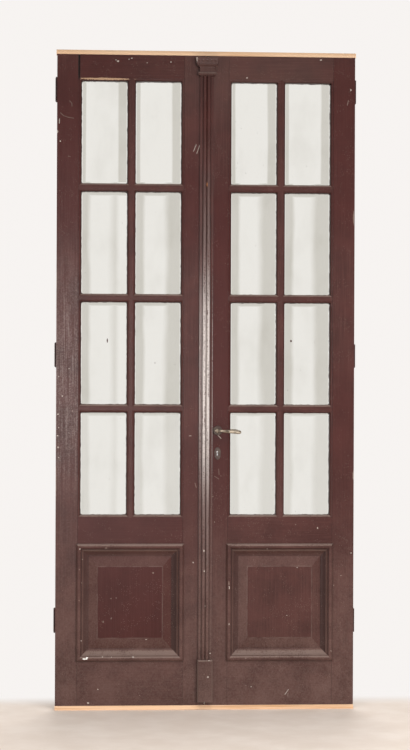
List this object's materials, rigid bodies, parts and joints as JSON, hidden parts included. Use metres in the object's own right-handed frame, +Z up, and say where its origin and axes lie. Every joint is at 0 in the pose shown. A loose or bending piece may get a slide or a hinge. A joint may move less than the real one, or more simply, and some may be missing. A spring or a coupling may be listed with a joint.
{
  "type": "pair of glazed french doors",
  "caption": "Pair of tall painted wooden french doors: glazed leaves over raised panels, reeded meeting strip with capital, lever lock, butt hinges and raw battens at head and foot.",
  "frame": {"origin": "middle of the underside of the sill batten, under the meeting line", "axes": "+X to the right seen from the front, +Y to the back, +Z up"},
  "size_m": [1.165, 0.144, 2.535],
  "materials": {
    "painted_wood": "old dark red-brown oil paint, half gloss, chipped and scuffed",
    "raw_pine": "sawn, unpainted",
    "glass": "old drawn sheet glass, clear",
    "putty": "linseed putty under paint",
    "painted_iron": "iron painted over with the doors",
    "lever_metal": "worn plated brass with dark patina",
    "painted_plate": "brass plate painted over",
    "lock_steel": "dull steel with light rust"
  },
  "bodies": {
    "frame": {"head_batten": "raw_pine", "sill_batten": "raw_pine", "left_frame_flaps": "painted_iron", "right_frame_flaps": "painted_iron", "left_hinge_pins": "painted_iron", "right_hinge_pins": "painted_iron"},
    "left_leaf": {"left_hinge_stile": "painted_wood", "left_meeting_stile": "painted_wood", "left_top_rail": "painted_wood", "left_lock_rail": "painted_wood", "left_bottom_rail": "painted_wood", "left_upright_bar": "painted_wood", "left_cross_bars": "painted_wood", "left_glass": "glass", "left_putty": "putty", "left_panel": "painted_wood", "left_panel_moulding": "painted_wood", "left_back_bead": "painted_wood", "left_leaf_flaps": "painted_iron", "left_hinge_screws": "painted_iron", "astragal": "painted_wood", "capital": "painted_wood", "base_block": "painted_wood", "strike_plate": "lock_steel", "strike_screws": "lock_steel", "top_bolt_plate": "lock_steel", "bottom_bolt_plate": "lock_steel", "bolt_screws": "lock_steel"},
    "right_leaf": {"right_hinge_stile": "painted_wood", "right_meeting_stile": "painted_wood", "right_top_rail": "painted_wood", "right_lock_rail": "painted_wood", "right_bottom_rail": "painted_wood", "right_upright_bar": "painted_wood", "right_cross_bars": "painted_wood", "right_glass": "glass", "right_putty": "putty", "right_panel": "painted_wood", "right_panel_moulding": "painted_wood", "right_back_bead": "painted_wood", "right_leaf_flaps": "painted_iron", "right_hinge_screws": "painted_iron", "lock_case": "lock_steel", "lock_forend": "lock_steel", "forend_screws": "lock_steel", "front_rose": "painted_plate", "back_rose": "painted_plate", "front_escutcheon": "painted_plate", "back_escutcheon": "painted_plate"},
    "lever_set": {"front_lever": "lever_metal", "back_lever": "lever_metal", "spindle": "lock_steel", "follower": "lock_steel"},
    "latch": {"latch_bolt": "lock_steel"},
    "dead_bolt": {"dead_bolt": "lock_steel"},
    "top_bolt": {"top_bolt_rod": "lock_steel"},
    "bottom_bolt": {"bottom_bolt_rod": "lock_steel"}
  },
  "joints": [
    {"name": "left_leaf_swing", "type": "hinge", "parent": "frame", "child": "left_leaf", "pos_m": [-0.5765, 0.0275, 1.2675], "axis": [0, 0, 1], "range_deg": [0, 110]},
    {"name": "right_leaf_swing", "type": "hinge", "parent": "frame", "child": "right_leaf", "pos_m": [0.5765, 0.0275, 1.2675], "axis": [0, 0, -1], "range_deg": [0, 110]},
    {"name": "lever_turn", "type": "hinge", "parent": "right_leaf", "child": "lever_set", "pos_m": [0.0465, 0, 1.0745], "axis": [0, 1, 0], "range_deg": [0, 40], "stiffness_Nm_per_rad": 1.2, "springref_deg": -28.65},
    {"name": "latch_slide", "type": "slide", "parent": "right_leaf", "child": "latch", "axis": [1, 0, 0], "range_m": [0, 0.0112]},
    {"name": "dead_bolt_throw", "type": "slide", "parent": "right_leaf", "child": "dead_bolt", "axis": [-1, 0, 0], "range_m": [0, 0.014]},
    {"name": "top_bolt_slide", "type": "slide", "parent": "left_leaf", "child": "top_bolt", "axis": [0, 0, 1], "range_m": [0, 0.02]},
    {"name": "bottom_bolt_slide", "type": "slide", "parent": "left_leaf", "child": "bottom_bolt", "axis": [0, 0, -1], "range_m": [0, 0.02]}
  ],
  "couplings": [
    {"joint": "latch_slide", "follows": "lever_turn", "m_per_rad": 0.01575}
  ]
}
